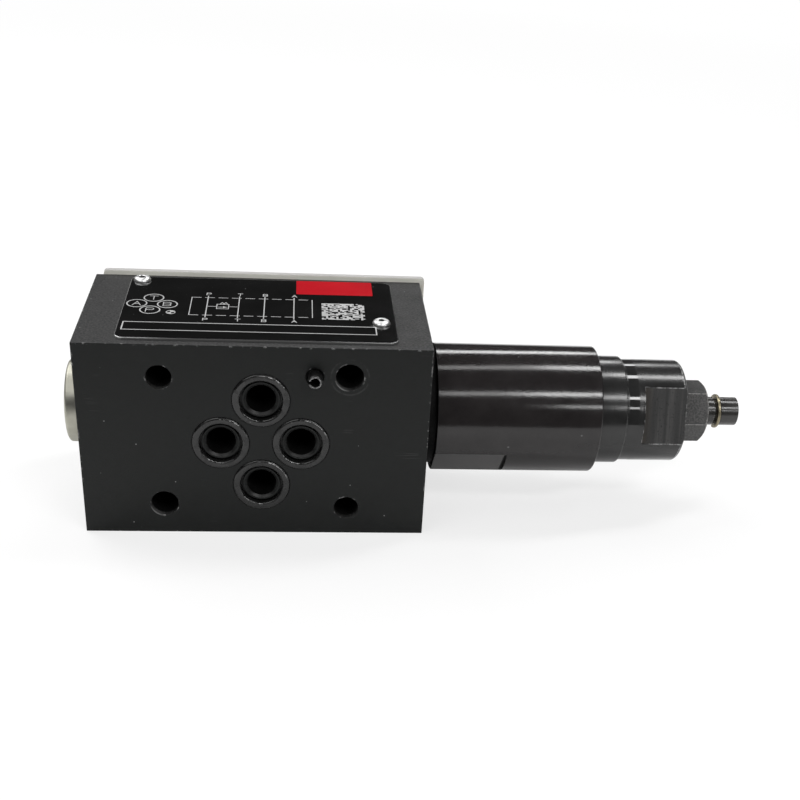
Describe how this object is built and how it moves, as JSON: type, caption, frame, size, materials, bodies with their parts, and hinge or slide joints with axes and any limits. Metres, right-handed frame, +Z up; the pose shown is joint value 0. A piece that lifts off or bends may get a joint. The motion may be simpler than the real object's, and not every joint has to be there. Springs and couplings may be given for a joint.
{
  "type": "hydraulic sandwich relief valve",
  "caption": "Black block-shaped hydraulic sandwich valve with ported sealing face, locating pin, name plate, end plug and a side cartridge adjusted by a screw and locknut.",
  "frame": {"origin": "centre of the bolt pattern on the sealing face", "axes": "+X along the cartridge towards its adjusting screw, -Y out of the sealing face, +Z up through the name plate"},
  "size_m": [0.157, 0.0445, 0.0474],
  "materials": {
    "body_black": "satin black coat on a milled iron block",
    "cartridge_black": "glossy black oxide on turned steel",
    "nut_black": "matt black oxide on steel",
    "screw_black": "glossy black oxide on a ground screw",
    "plug_steel": "satin zinc plated steel",
    "pin_steel": "rolled spring steel",
    "rivet_metal": "bright domed heads",
    "plate_black": "gloss black plate with pale printed lines and a red field",
    "cover_plastic": "translucent pale plastic",
    "seal_rubber": "oiled black rubber",
    "backup_plastic": "waxy white plastic",
    "ground_steel": "ground hardened steel",
    "spring_steel": "drawn spring wire",
    "ring_gold": "pale yellow plated spring steel"
  },
  "bodies": {
    "valve": {"valve_body": "body_black", "port_seal_p": "seal_rubber", "port_seal_t": "seal_rubber", "port_seal_a": "seal_rubber", "port_seal_b": "seal_rubber", "locating_pin": "pin_steel", "name_plate": "plate_black", "plate_rivets": "rivet_metal", "face_cover": "cover_plastic", "end_plug": "plug_steel", "end_plug_seal": "seal_rubber", "cartridge_body": "cartridge_black", "cartridge_face_seal": "seal_rubber", "nose_seal": "seal_rubber", "nose_backup_ring": "backup_plastic", "main_spring": "spring_steel", "pilot_seat": "ground_steel", "pilot_spring": "spring_steel", "adjuster_cap": "cartridge_black", "cap_seal": "seal_rubber"},
    "plunger": {"spring_plunger": "ground_steel", "plunger_seal": "seal_rubber"},
    "screw": {"adjusting_screw": "screw_black", "retaining_ring": "ring_gold"},
    "nut_washer": {"nut_seal": "seal_rubber"},
    "nut": {"locknut": "nut_black"},
    "piston": {"main_piston": "ground_steel"},
    "poppet": {"pilot_poppet": "ground_steel"}
  },
  "joints": [
    {"name": "plunger_feed", "type": "slide", "parent": "valve", "child": "plunger", "axis": [1, 0, 0], "range_m": [-0.00159, 0.00317], "deforming": ["pilot_spring"]},
    {"name": "screw_turn", "type": "hinge", "parent": "plunger", "child": "screw", "pos_m": [0.1, 0.02, 0], "axis": [1, 0, 0], "range_deg": [-540, 1080]},
    {"name": "nut_feed", "type": "slide", "parent": "valve", "child": "nut_washer", "axis": [1, 0, 0], "range_m": [0, 0.00106]},
    {"name": "nut_turn", "type": "hinge", "parent": "nut_washer", "child": "nut", "pos_m": [0.102, 0.02, 0], "axis": [1, 0, 0], "range_deg": [0, 360]},
    {"name": "piston_lift", "type": "slide", "parent": "valve", "child": "piston", "axis": [1, 0, 0], "range_m": [0, 0.002], "stiffness_N_per_m": 4000, "springref_m": -0.004, "deforming": ["main_spring"]},
    {"name": "poppet_lift", "type": "slide", "parent": "valve", "child": "poppet", "axis": [1, 0, 0], "range_m": [0, 0.0008], "stiffness_N_per_m": 25000, "springref_m": -0.003}
  ],
  "couplings": [
    {"joint": "screw_turn", "follows": "plunger_feed", "rad_per_m": 5936.9},
    {"joint": "nut_turn", "follows": "nut_feed", "rad_per_m": 5936.9}
  ]
}
